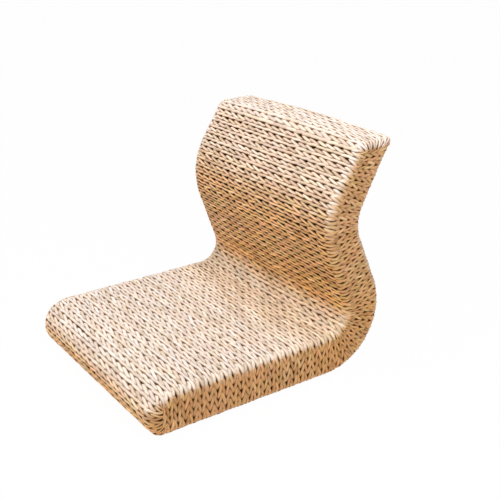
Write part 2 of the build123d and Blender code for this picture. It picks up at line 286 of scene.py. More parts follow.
# %% [markdown]
# The two closed ends have rows of their own. Each row of the front runs across the nose, turns
# round the upright corner and stops on the side, where the rows of the side begin. The top end is
# the same with smaller rounding. The rows of the faces could be led on over the ends, but they
# would crowd at the corners. So each end is a line of depth and height that its own rows step
# along.

# %% Lines of the closed ends
SAME_PLACE = 1e-7


def curve(steps, depth, height):
    """Points of a quarter turn, from the face at turn 0 to the end at a right angle."""
    return [(depth(pi / 2 * i / steps), height(pi / 2 * i / steps)) for i in range(steps + 1)]


def end_line(points):
    """A line of depth and height, as places along its length."""
    points = np.array(points)
    lengths = np.concatenate([[0], np.cumsum(np.hypot(*np.diff(points, axis=0).T))])
    keep = np.concatenate([[True], np.diff(lengths) > SAME_PLACE])
    return lengths[keep], points[keep]


RISE = SEAT_THICK - NOSE_FALL
BASE_STEPS, FALL_STEPS, TURN_STEPS = 24, 48, 12
nose_base = curve(
    BASE_STEPS, lambda t: NOSE_TURN_UP * (1 - sin(t)), lambda t: RISE * (1 - cos(t)))
nose_top = curve(
    FALL_STEPS, lambda t: NOSE_RUN * (1 - cos(t)), lambda t: RISE + NOSE_FALL * sin(t))
front_line = end_line(nose_base + [p for p in nose_top if p[0] < TOP_START])

TOP_LENGTH = TOP_THICK * TOP_STRETCH
TOP_DEPTH = TOP_LAND / TOP_STRETCH


def top_edge(depth, side):
    """Depth under the level top and place along it, on the front (1) or the rear (-1) edge."""
    drawn = TOP_ROUND * (1 - round_off(depth, TOP_ROUND))
    return depth, side * (TOP_LENGTH / 2 - drawn) + depth * tan(TOP_TILT)


turn_depths = [TOP_ROUND * (1 - cos(pi / 2 * i / TURN_STEPS)) for i in range(TURN_STEPS + 1)]
turn_depths.append(TOP_DEPTH)
top_line = end_line(
    [top_edge(d, 1) for d in reversed(turn_depths)] + [top_edge(d, -1) for d in turn_depths])
FRONT_ROWS = round(front_line[0][-1] / ROW)
TOP_ROWS = round(top_line[0][-1] / ROW)
print("end rows", FRONT_ROWS, TOP_ROWS)

# %% Rows over the closed ends
CORNER_STITCHES = 2
LOOK_AHEAD = 1.5 * MM


def along_end(line, share):
    """Place and direction on an end's line, at a share of its length."""
    lengths, points = line
    at = share * lengths[-1]
    d, w = (float(np.interp(at, lengths, points[:, k])) for k in (0, 1))
    before, after = max(at - LOOK_AHEAD, 0.0), min(at + LOOK_AHEAD, lengths[-1])
    run = [
        float(np.interp(after, lengths, points[:, k]) - np.interp(before, lengths, points[:, k]))
        for k in (0, 1)
    ]
    size = sqrt(run[0] ** 2 + run[1] ** 2)
    return d, w, (run[0] / size, run[1] / size)


def end_point(line, sense, row_share, stitch, corner, corner_stitches, stop):
    """Point and facing on a closed end: width, depth, height, and the same of the facing."""
    inside = min(max(row_share, 0.0), 1.0)
    d, w, run = along_end(line, inside)
    spare = (row_share - inside) * line[0][-1]
    d, w = d + run[0] * spare, w + run[1] * spare
    facing = (-sense * run[1], sense * run[0])
    head_on = abs(facing[0])
    radius = EDGE_RADIUS + (corner - EDGE_RADIUS) * head_on**2
    flat = WIDTH / 2 - radius
    x, turn, past = over_edge(stitch, flat, radius, corner_stitches)
    ease = 1 - cos(turn)
    hand = 1 if stitch >= 0 else -1
    deep, high = stop(row_share)
    d, w = d + (deep + past - d) * ease, w + (high - w) * ease
    return hand * x, d, w, hand * sin(turn), facing[0] * cos(turn), facing[1] * cos(turn)


STOP_INSET = EDGE_RADIUS * 0.7


def front_stop(share):
    """Where a row of the front stops on the side: depth and height."""
    low, high = STOP_INSET, nose_heights(TOP_START, 0.0)[1] - STOP_INSET
    return FRONT_CORNER, low + share * (high - low)


def front_point(row, stitch):
    """Point and facing on the front end, rows counted from the floor upwards."""
    x, d, w, out_x, out_d, out_w = end_point(
        front_line, 1, row / FRONT_ROWS, stitch, FRONT_CORNER, CORNER_STITCHES, front_stop)
    return (x, FRONT_Y + d, w), (out_x, out_d, out_w)


print("front at half its height:", [round(c, 4) for c in front_point(FRONT_ROWS / 2, 0)[0]])

# %% Rows over the top end
TOP_CROWN, CROWN_RISE = 7 * MM, 4


def top_stop(share):
    """Where a row of the top end stops on the side: depth and place along the top."""
    reach = TOP_LENGTH / 2 - STOP_INSET
    return TOP_DEPTH, (1 - 2 * share) * reach + TOP_DEPTH * tan(TOP_TILT)


def top_crown(x, share):
    """How far the level top swells up, most in the middle."""
    swell = min(1.0, CROWN_RISE * share, CROWN_RISE * (1 - share))
    return TOP_CROWN * (1 - (x / (WIDTH / 2)) ** 2) * swell


def top_point(row, stitch):
    """Point and facing on the top end, rows counted from the sitter's side to the rear."""
    share = min(max(row / TOP_ROWS, 0.0), 1.0)
    x, d, w, out_x, out_d, out_w = end_point(
        top_line, -1, row / TOP_ROWS, stitch, TOP_ROUND, EDGE_STITCHES, top_stop)
    y, z, heading = middle(TOP_END)
    sitter = (-sin(heading + TOP_TILT), cos(heading + TOP_TILT))
    down = (-sitter[1], sitter[0])
    d -= top_crown(x, share)
    out_y, out_z = (out_d * down[k] + out_w * sitter[k] for k in (0, 1))
    y, z = y + d * down[0] + w * sitter[0], z + d * down[1] + w * sitter[1]
    return (x, y, z), (out_x, out_y, out_z)


print("middle of the top:", [round(c, 4) for c in top_point(TOP_ROWS / 2, 0)[0]])


# %% Helpers for meshes
def add_object(name, data):
    """A new object in the scene."""
    made = bpy.data.objects.new(name, data)
    bpy.context.scene.collection.objects.link(made)
    return made


def add_mesh(name, points, faces):
    """A new mesh object in the scene."""
    mesh = bpy.data.meshes.new(name)
    mesh.from_pydata(points, [], faces)
    return add_object(name, mesh)


# %% Make the forms
SPARE = 0.9
POINTS_IN_STITCH, POINTS_IN_ROW = 8, 6


def make_form(name, place, rows, stitches):
    """Grid mesh of the cover with its loom place and facing stored at each point."""
    last = stitches / 2 + SPARE
    across = np.linspace(-last, last, POINTS_IN_STITCH * int(2 * last) + 1)
    row_numbers = np.linspace(-SPARE, rows + SPARE, POINTS_IN_ROW * int(rows + 2 * SPARE) + 1)
    points, loom, facing = [], [], []
    for row in row_numbers:
        for stitch in across:
            point, out = place(row, stitch)
            points.append(point)
            facing.append(out)
            loom.append((stitch * STITCH, row * ROW, 0.0))
    wide = len(across)
    faces = [
        (r * wide + c, r * wide + c + 1, (r + 1) * wide + c + 1, (r + 1) * wide + c)
        for r in range(len(row_numbers) - 1) for c in range(wide - 1)
    ]
    form = add_mesh(name, points, faces)
    mesh = form.data
    for title, values in (("loom", loom), ("facing", facing)):
        note = mesh.attributes.new(title, "FLOAT_VECTOR", "POINT")
        note.data.foreach_set("vector", np.array(values, dtype=np.float32).ravel())
    agree = [Vector(facing[f[0]]).dot(p.normal) > 0 for f, p in zip(faces, mesh.polygons)]
    print(name, len(points), "points, facing agrees on %.3f" % np.mean(agree))
    return form


FACE_TOTAL = FACE_STITCHES + 2 * EDGE_STITCHES
FRONT_TOTAL = FACE_STITCHES + 2 * CORNER_STITCHES
SIDE_TOTAL = SIDE_STITCHES + 1
forms = {
    "sitter": make_form("sitter_form", sitter_point, sum(SITTER_ROWS), FACE_TOTAL),
    "rear": make_form("rear_form", rear_point, sum(REAR_ROWS), FACE_TOTAL),
    "left": make_form("left_form", left_point, sum(SIDE_ROWS), SIDE_TOTAL),
    "right": make_form("right_form", right_point, sum(SIDE_ROWS), SIDE_TOTAL),
    "front": make_form("front_form", front_point, FRONT_ROWS, FRONT_TOTAL),
    "top": make_form("top_form", top_point, TOP_ROWS, FACE_TOTAL),
}

# %% [markdown]
# One stitch of twined rush is a length of folded leaf. It rises at the hole between two rows, lies
# over one warp like a strand of rope and dips under its neighbour. A real strand could be swept
# along its whole path through the weave, but only this part shows, so a closed shape of a few dozen
# faces stands for it. It is thin where it rises and blunt where it dips. The back's strands leave
# open holes, and those of the seat and the sides lie closer. Each set has a strand that leans left
# and one that leans right. Its own UV map runs along the leaf.

# %% One strand of rush
OPEN_RINGS = (
    # place along in stitches, share of the swing, then in mm half width, depth and half thickness
    (-0.80, -1.00, 1.1, 4.4, 1.5), (-0.64, -0.98, 1.8, 2.7, 2.0), (-0.45, -0.92, 2.6, 1.2, 2.4),
    (-0.20, -0.54, 3.4, 0.2, 2.7), (0.05, 0.14, 3.6, 0.0, 2.8), (0.30, 0.75, 3.4, 0.3, 2.7),
    (0.55, 0.98, 3.1, 1.1, 2.5), (0.80, 1.00, 2.5, 2.4, 2.1),
)
CLOSED_RINGS = (
    (-0.86, -1.00, 1.7, 3.0, 1.7), (-0.68, -0.98, 2.7, 1.7, 2.1), (-0.45, -0.92, 3.3, 0.8, 2.4),
    (-0.20, -0.54, 3.7, 0.2, 2.7), (0.05, 0.14, 3.8, 0.0, 2.8), (0.30, 0.75, 3.7, 0.3, 2.7),
    (0.55, 0.98, 3.4, 0.9, 2.5), (0.80, 1.00, 2.9, 1.9, 2.1),
)
ROUND_PLACES = ((1.0, 0.0), (0.74, 0.68), (0.0, 1.0), (-0.74, 0.68), (-1.0, 0.0), (0.0, -0.8))
RISING_TIP, DIPPING_TIP = -0.09, 0.11


def tube_faces(rings, wide):
    """Faces between rings of points that are closed all round."""
    return [
        (r * wide + c, (r + 1) * wide + c, (r + 1) * wide + n, r * wide + n)
        for r in range(rings - 1) for c, n in zip(range(wide), (*range(1, wide), 0))
    ]


def make_strand(name, rings, lean, sway):
    """A strand along x, its crest at height 0, swinging by the sway (mm) to one side."""
    points, leaf_places = [], []
    for along, swing, width, depth, thick in rings:
        for y, z in ROUND_PLACES:
            points.append((along * STITCH, lean * (swing * sway + y * width) * MM,
                           (z * thick - thick - depth) * MM))
            leaf_places.append((along, y))
    wide, last = len(ROUND_PLACES), len(rings) - 1
    faces = tube_faces(len(rings), wide)
    for ring, reach in ((0, RISING_TIP), (last, DIPPING_TIP)):
        along, swing, width, depth, thick = rings[ring]
        points.append(((along + reach) * STITCH, lean * swing * sway * MM,
                       -(depth + 2 * thick) * MM))
        leaf_places.append((along + reach, 0.0))
        for c in range(wide):
            n = (c + 1) % wide
            pair = (ring * wide + c, ring * wide + n)
            faces.append((len(points) - 1,) + (pair if ring == 0 else pair[::-1]))
    if lean < 0:
        faces = [face[::-1] for face in faces]
    strand = add_mesh(name, points, faces)
    mesh = strand.data
    leaf = mesh.uv_layers.new(name="leaf")
    for loop in mesh.loops:
        leaf.data[loop.index].uv = leaf_places[loop.vertex_index]
    mesh.shade_smooth()
    print(name, len(mesh.polygons), "faces")
    return strand


def strand_set(title, rings, left_sway, right_sway):
    """The strands that one part of the chair is woven from."""
    return {
        "Left strand": make_strand(title + "_left_strand", rings, 1, left_sway),
        "Right strand": make_strand(title + "_right_strand", rings, -1, right_sway),
    }


FACE_SWAYS, SIDE_SWAYS = (0.6, 2.1), (1.9, 1.9)
seat_strands = strand_set("seat", CLOSED_RINGS, *FACE_SWAYS)
back_strands = strand_set("back", OPEN_RINGS, *FACE_SWAYS)
side_strands = strand_set("side", CLOSED_RINGS, *SIDE_SWAYS)

# %% [markdown]
# Node trees are easier to read as sums than as boxes and wires. A small class wraps one socket, and
# adding, multiplying or comparing two of them adds the Math node that does it. One method makes any
# other node. The same class serves the geometry tree and the materials.

# %% Sums on sockets
class Wire:
    """One output socket of a node tree, ready for sums."""

    def __init__(self, tree, socket=None):
        self.tree, self.socket = tree, socket

    def fill(self, node, sockets):
        """Sets the inputs of a node to values or links them to other sockets."""
        for key, value in sockets.items():
            if isinstance(value, Wire):
                self.tree.links.new(value.socket, node.inputs[key])
            else:
                node.inputs[key].default_value = value

    def node(self, kind, settings, sockets, out=0):
        """Adds a node with its settings, then its values and links, and gives one output."""
        made = self.tree.nodes.new(kind)
        for key, value in settings.items():
            if key == "stops":
                ramp = made.color_ramp.elements
                while len(ramp) < len(value):
                    ramp.new(0.5)
                for stop, (place, colour) in zip(ramp, value):
                    stop.position, stop.color = place, (*colour, 1.0)
            else:
                setattr(made, key, value)
        self.fill(made, sockets)
        return Wire(self.tree, made.outputs[out]) if len(made.outputs) else made

    def math(self, operation, first, second=0.0):
        """One Math node."""
        return self.node("ShaderNodeMath", {"operation": operation}, {0: first, 1: second})

    def __add__(self, other):
        return self.math("ADD", self, other)

    def __sub__(self, other):
        return self.math("SUBTRACT", self, other)

    def __rsub__(self, other):
        return self.math("SUBTRACT", other, self)

    def __mul__(self, other):
        return self.math("MULTIPLY", self, other)

    def __truediv__(self, other):
        return self.math("DIVIDE", self, other)

    def __gt__(self, other):
        return self.math("GREATER_THAN", self, other)

    __radd__, __rmul__ = __add__, __mul__


# %% [markdown]
# Twining turns two strands round each other between the warps, so every strand in a row leans the
# same way, and the next row is turned the other way round. Two such rows together read as a chain
# of V shapes, the wheat ear pattern, with a small dark hole in the crotch of each V. Each strand
# could be placed by hand, but there are thousands. So Geometry Nodes lay them on the flat loom and
# then pull them over the form with Sample UV Surface, which looks up the loom place of each point
# and gives its place on the chair. Small chances in place, turn and size keep it from looking
# printed.

# %% An empty tree
def new_tree(name, inputs):
    """An empty geometry tree with named inputs."""
    tree = bpy.data.node_groups.new(name, "GeometryNodeTree")
    tree.is_modifier = True
    tree.interface.new_socket(name="Weave", in_out="OUTPUT", socket_type="NodeSocketGeometry")
    for title, kind in inputs:
        tree.interface.new_socket(name=title, in_out="INPUT", socket_type="NodeSocket" + kind)
    start = tree.nodes.new("NodeGroupInput")
    ports = {title: Wire(tree, start.outputs[title]) for title, kind in inputs}
    return tree, ports, Wire(tree)


def axis(bench, vector, name):
    """One axis of a place or a direction."""
    return bench.node("ShaderNodeSeparateXYZ", {}, {0: vector}, name)


# %% The twining tree
NUDGE_ALONG, NUDGE_ACROSS, NUDGE_DOWN = 1.3 * MM, 0.35 * MM, 0.8 * MM
NUDGE_TURN = radians(4.0)
LENGTH_CHANCE, WIDTH_CHANCE = (0.94, 1.06), (0.9, 1.1)


def make_twining_tree():
    """Strands in leaning rows on the flat loom, pulled over a form."""
    tree, port, bench = new_tree("twined_rush", (
        ("Form", "Object"), ("Left strand", "Object"), ("Right strand", "Object"),
        ("Rush", "Material"), ("Stitches", "Int"), ("First row", "Int"), ("Rows", "Int"),
        ("Stitch pitch", "Float"), ("Row pitch", "Float"), ("Turn", "Float"),
        ("Looseness", "Float"), ("Seed", "Int"),
    ))
    strand_rows = port["Rows"] * 2.0
    grid = bench.node("GeometryNodeMeshGrid", {}, {
        "Size X": (port["Stitches"] - 1.0) * port["Stitch pitch"],
        "Size Y": (strand_rows - 1.0) * port["Row pitch"] * 0.5,
        "Vertices X": port["Stitches"], "Vertices Y": strand_rows,
    })
    shift = bench.node("ShaderNodeCombineXYZ", {}, {
        "Y": (port["First row"] + port["Rows"] * 0.5) * port["Row pitch"],
    })
    loom = bench.node("GeometryNodeTransform", {}, {"Geometry": grid, "Translation": shift})

    here = bench.node("GeometryNodeInputPosition", {}, {})
    count = bench.math("FLOOR", axis(bench, here, "Y") / port["Row pitch"] * 2.0)
    outwards = bench.math("ABSOLUTE", axis(bench, here, "X"))

    def chance(low, high, extra):
        return bench.node("FunctionNodeRandomValue", {"data_type": "FLOAT"}, {
            2: low, 3: high, "Seed": port["Seed"] + extra,
        }, 1)

    def keep(points, title, value):
        return bench.node("GeometryNodeStoreNamedAttribute", {"data_type": "FLOAT"}, {
            "Geometry": points, "Name": title, "Value": value,
        })

    def kept(title, kind="FLOAT"):
        return bench.node("GeometryNodeInputNamedAttribute", {"data_type": kind}, {"Name": title})

    loom = keep(loom, "tone", chance(0.0, 1.0, 7.0))
    loom = keep(loom, "shade", chance(0.0, 1.0, 8.0))
    loom = keep(loom, "second", bench.math("FLOORED_MODULO", count, 2.0))
    loom = keep(loom, "turning", outwards > port["Turn"])
    nudge = bench.node("ShaderNodeCombineXYZ", {}, {
        "X": chance(-1.0, 1.0, 2.0) * port["Looseness"] * NUDGE_ALONG,
        "Y": chance(-1.0, 1.0, 3.0) * port["Looseness"] * NUDGE_ACROSS,
        "Z": chance(-1.0, 0.0, 4.0) * port["Looseness"] * NUDGE_DOWN,
    })
    loose = bench.node("GeometryNodeSetPosition", {}, {"Geometry": loom, "Offset": nudge})
    turn = bench.node("ShaderNodeCombineXYZ", {}, {
        "Z": chance(-1.0, 1.0, 1.0) * port["Looseness"] * NUDGE_TURN,
    })
    size = bench.node("ShaderNodeCombineXYZ", {}, {
        "X": chance(*LENGTH_CHANCE, 5.0), "Y": chance(*WIDTH_CHANCE, 6.0), "Z": 1.0,
    })
    laid = []
    for title, chosen in (("Left strand", 1.0 - kept("second")), ("Right strand", kept("second"))):
        shape = bench.node("GeometryNodeObjectInfo", {}, {"Object": port[title]}, "Geometry")
        laid.append(bench.node("GeometryNodeInstanceOnPoints", {}, {
            "Points": loose, "Selection": chosen > 0.5, "Instance": shape,
            "Rotation": turn, "Scale": size,
        }))
    together = bench.node("GeometryNodeJoinGeometry", {}, {"Geometry": laid[0]})
    tree.links.new(laid[1].socket, together.socket.node.inputs["Geometry"])
    flat = bench.node("GeometryNodeRealizeInstances", {}, {"Geometry": together})

    form = bench.node("GeometryNodeObjectInfo", {}, {"Object": port["Form"]}, "Geometry")

    def on_form(value):
        return bench.node("GeometryNodeSampleUVSurface", {"data_type": "FLOAT_VECTOR"}, {
            "Mesh": form, "Value": value, "Sample UV": here,
            "Source UV Map": kept("loom", "FLOAT_VECTOR"),
        })

    height, facing = axis(bench, here, "Z"), on_form(kept("facing", "FLOAT_VECTOR"))
    raised = bench.node(
        "ShaderNodeVectorMath", {"operation": "SCALE"}, {0: facing, "Scale": height})
    place = bench.node("ShaderNodeVectorMath", {"operation": "ADD"}, {
        0: on_form(bench.node("GeometryNodeInputPosition", {}, {})), 1: raised,
    })
    up, sideways = axis(bench, facing, "Z"), bench.math("ABSOLUTE", axis(bench, facing, "X"))
    noted = keep(keep(keep(flat, "upward", up), "sideways", sideways), "height", height)
    pulled = bench.node("GeometryNodeSetPosition", {}, {"Geometry": noted, "Position": place})
    finished = bench.node(
        "GeometryNodeSetMaterial", {}, {"Geometry": pulled, "Material": port["Rush"]})
    bench.node("NodeGroupOutput", {}, {"Weave": finished})
    return tree


twining = make_twining_tree()
print("twining tree", len(twining.nodes), "nodes")

# %% [markdown]
# Rush dries to many colours: cream, straw, a pinkish tan and a dull green, with fine ribs along the
# leaf. Parts that face up are painted pale straw, as painted light from above, and the side edges
# get a painted highlight. The sides and the parts that face down are painted a darker warm tan, as
# painted shade, and the seat under the back is painted warmer, as painted shade in the bend. Each
# strand has a painted highlight along its middle and painted shade at its edges and where it dips
# into the holes. A picture of rush could be wrapped round the chair, but it would cut across the
# strands. The material reads the notes that the tree stored on each strand instead, so a whole
# strand keeps one colour, and only its crest has a sheen.

# %% Colours of the rush
# PALE is the rush painted as if lit from above, TAN the same rush painted as if in shade.
PALE = ((0.0, (0.76, 0.61, 0.47)), (0.25, (0.89, 0.75, 0.65)), (0.5, (0.91, 0.76, 0.67)),
        (0.75, (0.88, 0.76, 0.63)), (1.0, (0.96, 0.87, 0.82)))
TAN = ((0.0, (0.63, 0.30, 0.08)), (0.25, (0.83, 0.44, 0.17)), (0.5, (0.86, 0.44, 0.19)),
       (0.75, (0.78, 0.45, 0.13)), (1.0, (0.96, 0.61, 0.30)))
# Painted shade between the strands and in the holes.
PALE_SHADOW, TAN_SHADOW = (0.34, 0.16, 0.055, 1.0), (0.06, 0.011, 0.0, 1.0)
# Painted shade: one tint darkens the sides, the other warms the seat in the bend.
SIDE_SHADE_TINT, BEND_SHADE_TINT = (0.86, 0.78, 0.66), (1.03, 1.02, 0.93)
print(len(PALE), "pale and", len(TAN), "tan colours")


# %% Helpers for finishes
def new_material(name):
    """An empty material with its shader, and a bench to add nodes to it."""
    material = bpy.data.materials.new(name)
    material.use_nodes = True
    bench = Wire(material.node_tree)
    shader = material.node_tree.nodes["Principled BSDF"]
    return material, bench, shader


def read_note(bench, title):
    """A number that is stored on the piece."""
    return bench.node("ShaderNodeAttribute", {"attribute_name": title}, {}, "Fac")


def soft_step(bench, value, start, end):
    """0 at the start and 1 at the end, with a soft change between them."""
    return bench.node("ShaderNodeMapRange", {"interpolation_type": "SMOOTHSTEP"}, {
        "Value": value, "From Min": start, "From Max": end,
    })


def blend(bench, share, first, second):
    """The first colour at share 0 and the second at share 1."""
    return bench.node(
        "ShaderNodeMix", {"data_type": "RGBA"}, {0: share, 6: first, 7: second}, 2)


def tinted(bench, share, colour, tint):
    """A colour that takes a tint by a share."""
    full = bench.node("ShaderNodeVectorMath", {"operation": "MULTIPLY"}, {0: colour, 1: tint})
    return blend(bench, share, colour, full)


def noise(bench, place, scale, detail):
    """A cloudy pattern from 0 to 1."""
    return bench.node(
        "ShaderNodeTexNoise", {}, {"Vector": place, "Scale": scale, "Detail": detail}, "Fac")


def ramp(bench, stops, value):
    """A colour between the stops, by a value from 0 to 1."""
    return bench.node("ShaderNodeValToRGB", {"stops": stops}, {"Fac": value}, "Color")


def relief(bench, height, strength, distance):
    """Fine bumps that follow a pattern."""
    return bench.node(
        "ShaderNodeBump", {}, {"Height": height, "Strength": strength, "Distance": distance})


# %% Painted light from above, painted shade in the bend and on the sides
BEND_SHADE_START, BEND_SHADE_END = FRONT_Y + SEAT_RUN - 110 * MM, FRONT_Y + SEAT_RUN + 10 * MM
BEND_SHADE_TOP = 2.5 * SEAT_THICK
PAINTED_LIGHT_START, PAINTED_LIGHT_END = -0.2, 0.95
EDGE_HIGHLIGHT_GAIN, EDGE_HIGHLIGHT_LIFT, EDGE_SIDE_SHADE_LOSS = 0.4, 0.16, 0.6
BEND_SHADE_LIGHT_LOSS, SIDE_SHADE_BASE, SIDE_SHADE_LOW = 0.2, 0.5, 0.5


def light_and_shade_shares(bench, sideways, turning):
    """Shares of painted light from above, of painted shade in the bend and of painted shade on the
    sides.
    """
    place = bench.node("ShaderNodeTexCoord", {}, {}, "Object")
    # Painted shade in the bend: the seat near the back and low down is painted warmer and less
    # pale.
    near_back = soft_step(bench, axis(bench, place, "Y"), BEND_SHADE_START, BEND_SHADE_END)
    low_down = soft_step(bench, axis(bench, place, "Z"), BEND_SHADE_TOP, SEAT_THICK)
    painted_bend_shade = near_back * low_down
    upward = read_note(bench, "upward")
    # Painted light from above: parts that face up, and the side edges more, take the pale colour as
    # a painted highlight.
    toward_light = upward * (1.0 + turning * EDGE_HIGHLIGHT_GAIN) + turning * EDGE_HIGHLIGHT_LIFT
    painted_light = soft_step(bench, toward_light, PAINTED_LIGHT_START, PAINTED_LIGHT_END) * (1.0 - painted_bend_shade * BEND_SHADE_LIGHT_LOSS)
    # Painted shade on the sides, darker towards the bottom and lighter on the side edges.
    painted_side_shade = sideways * (SIDE_SHADE_BASE + low_down * SIDE_SHADE_LOW) * (1.0 - turning * EDGE_SIDE_SHADE_LOSS)
    return painted_light, painted_bend_shade, painted_side_shade


# %% Rush
RIBS_ALONG, RIBS_ACROSS, RIBS_STEP = 3.0, 26.0, 90.0
LEAF_EDGE, LEAF_MIDDLE = 1.0, 0.35
HOLE_HEIGHT, CREST_HEIGHT = -4.8 * MM, -1.2 * MM
EDGE_CREST = 0.4
# Painted highlight along each strand's middle and on the side edges, and on the back a painted
# highlight on crests with painted shade on the flanks.
RIDGE, RIDGE_GAIN, RIDGE_EDGE_GAIN = 0.88, 0.16, 0.05
RELIEF_HIGHLIGHT, RELIEF_TONE, RELIEF_SHADE_LOSS = 0.6, 0.22, 0.63
SHADE, SHADE_GAIN, RIBS, RIBS_GAIN = 0.86, 0.24, 0.78, 0.42
RUSH_ROUGHNESS, RIBS_SMOOTHING, SHEEN_ROUGHNESS = 0.56, 0.25, 0.4


def make_rush():
    """Dried rush: painted light and shade by facing, painted shade in the holes, ribbed along the
    leaf.
    """
    rush, bench, shader = new_material("twined_rush")
    tone, shade, height = (read_note(bench, title) for title in ("tone", "shade", "height"))
    sideways, turning = read_note(bench, "sideways"), read_note(bench, "turning")
    painted_light, painted_bend_shade, painted_side_shade = light_and_shade_shares(bench, sideways, turning)
    leaf = bench.node("ShaderNodeUVMap", {"uv_map": "leaf"}, {})
    along, across = axis(bench, leaf, "X"), axis(bench, leaf, "Y")
    ribs_at = bench.node("ShaderNodeCombineXYZ", {}, {
        "X": along * RIBS_ALONG, "Y": across * RIBS_ACROSS, "Z": tone * RIBS_STEP,
    })
    ribs = noise(bench, ribs_at, 1.0, 3.0)
    # Painted light and shade: the pale colours where the strand faces up, the tan ones elsewhere,
    # then the painted shade of the sides and of the bend.
    colour = blend(bench, painted_light, ramp(bench, TAN, tone), ramp(bench, PALE, tone))
    colour = tinted(bench, painted_side_shade, colour, SIDE_SHADE_TINT)
    colour = tinted(bench, painted_bend_shade, colour, BEND_SHADE_TINT)
    # Painted shade between strands: the colour turns to the shadow colours at the leaf's edges and
    # where the strand dips, a little less on the side edges.
    ridge = soft_step(bench, bench.math("ABSOLUTE", across), LEAF_EDGE, LEAF_MIDDLE)
    raised = soft_step(bench, height, HOLE_HEIGHT, CREST_HEIGHT)
    crest = bench.math("MAXIMUM", ridge * raised, turning * EDGE_CREST * raised)
    colour = blend(bench, crest, blend(bench, painted_light, TAN_SHADOW, PALE_SHADOW), colour)
    # Painted highlight and shade on each strand: brighter along its middle and on the side edges;
    # on the back, brighter crests and darker flanks.
    painted_relief = (1.0 - painted_light) * (1.0 - sideways)
    light = RIDGE + ridge * RIDGE_GAIN + turning * painted_light * RIDGE_EDGE_GAIN
    light = light * (
        1.0 + painted_relief * (ridge * raised * RELIEF_HIGHLIGHT + shade * RELIEF_TONE - RELIEF_SHADE_LOSS))
    light = light * (SHADE + shade * SHADE_GAIN) * (RIBS + ribs * RIBS_GAIN)
    lit = bench.node("ShaderNodeVectorMath", {"operation": "SCALE"}, {0: colour, "Scale": light})
    bench.fill(shader, {
        "Base Color": lit, "Roughness": RUSH_ROUGHNESS - ribs * RIBS_SMOOTHING,
        "Coat Weight": ridge * raised, "Coat Roughness": SHEEN_ROUGHNESS,
        "Specular IOR Level": 0.0, "Normal": relief(bench, ribs, 0.35, 0.5 * MM),
    })
    print("rush", len(rush.node_tree.nodes), "nodes")
    return rush


rush = make_rush()

# %% [markdown]
# A weaver works the cover zone by zone: the seat, the bend, the lower back, the lumbar and the
# upper back, on the sitter's side, the rear and both sides, and last the two ends. It could all be
# one mesh, but a piece for each zone stays light and stands for its own solids. A bare object
# carries the tree as a modifier with the zone's sizes, and what it weaves is kept as a plain mesh.

# %% Weave the pieces
LOOSENESS = 1.0


def strands_for(name, form):
    """The strands of a piece: those of the sides, the seat or the back."""
    if form in ("left", "right"):
        return side_strands
    close = form in ("front", "top") or name.startswith("seat") or name == "bend_front_weave"
    return seat_strands if close else back_strands


def weave(name, form, first_row, rows, stitches, seed):
    """One woven piece as a plain mesh, made by the twining tree."""
    holder = add_mesh(name + "_loom", [], [])
    modifier = holder.modifiers.new("twining", "NODES")
    modifier.node_group = twining
    values = {
        **strands_for(name, form), "Form": forms[form], "Rush": rush, "Stitches": stitches,
        "First row": first_row, "Rows": rows, "Stitch pitch": STITCH, "Row pitch": ROW,
        "Turn": WIDTH if form == "front" else FACE_HALF,
        "Looseness": LOOSENESS, "Seed": seed,
    }
    for socket in twining.interface.items_tree:
        if socket.in_out == "INPUT":
            modifier[socket.identifier] = values[socket.name]
    holder.update_tag()
    graph = bpy.context.evaluated_depsgraph_get()
    mesh = bpy.data.meshes.new_from_object(
        holder.evaluated_get(graph), preserve_all_data_layers=True, depsgraph=graph)
    mesh.name = name
    bpy.data.objects.remove(holder)
    piece = add_object(name, mesh)
    corners = np.empty(len(mesh.vertices) * 3)
    mesh.vertices.foreach_get("co", corners)
    corners = corners.reshape(-1, 3)
    print(name, len(mesh.polygons), "faces", corners.min(0).round(4), corners.max(0).round(4))
    return piece


# %% Weave every zone
def weave_zones(form, names, rows, stitches, seed):
    """The pieces of one form, one after the other along its rows."""
    first = 0
    for number, (name, count) in enumerate(zip(names, rows)):
        woven[name] = weave(name, form, first, count, stitches, seed + number)
        first += count


def joined_nose(rows):
    """Rows of the pieces, where the nose and the seat make one piece."""
    return (rows[0] + rows[1],) + rows[2:]


ZONE_NAMES = ("seat", "bend", "lower_back", "lumbar", "upper_back")
woven = {}
UPWARDS, DOWNWARDS = 1, -1
for form, title, rows, order, stitches, seed in (
    ("sitter", "front", SITTER_ROWS, UPWARDS, FACE_TOTAL, 10),
    ("rear", "rear", REAR_ROWS, DOWNWARDS, FACE_TOTAL, 20),
    ("left", "left", SIDE_ROWS, DOWNWARDS, SIDE_TOTAL, 30),
    ("right", "right", SIDE_ROWS, UPWARDS, SIDE_TOTAL, 40),
):
    names = [zone + "_" + title + "_weave" for zone in ZONE_NAMES]
    weave_zones(form, names[::order], joined_nose(rows)[::order], stitches, seed)
weave_zones("front", ["front_end_rush"], [FRONT_ROWS], FRONT_TOTAL, 50)
weave_zones("top", ["top_end_rush"], [TOP_ROWS], FACE_TOTAL, 51)

# %% [markdown]
# Behind the weave lies the padding: foam on the sitter's side and thin wadding elsewhere, closed in
# a dark lining cloth. Only specks of it show, as the dark holes of the weave. A pad could be blown
# up by a cloth simulation, but the tight weave holds it to the chair's own shape. So each pad is a
# closed shell whose outside follows the form below the strands, and whose inside clears the wood.

# %% A plain piece
def make_piece(name, points, faces):
    """A plain mesh piece with its faces turned outwards."""
    piece = add_mesh(name, points, faces)
    solid = bmesh.new()
    solid.from_mesh(piece.data)
    bmesh.ops.recalc_face_normals(solid, faces=solid.faces)
    volume = solid.calc_volume(signed=True) / (10 * MM) ** 3
    print(name, len(solid.faces), "faces, volume %.0f cm3" % volume)
    solid.to_mesh(piece.data)
    solid.free()
    return piece


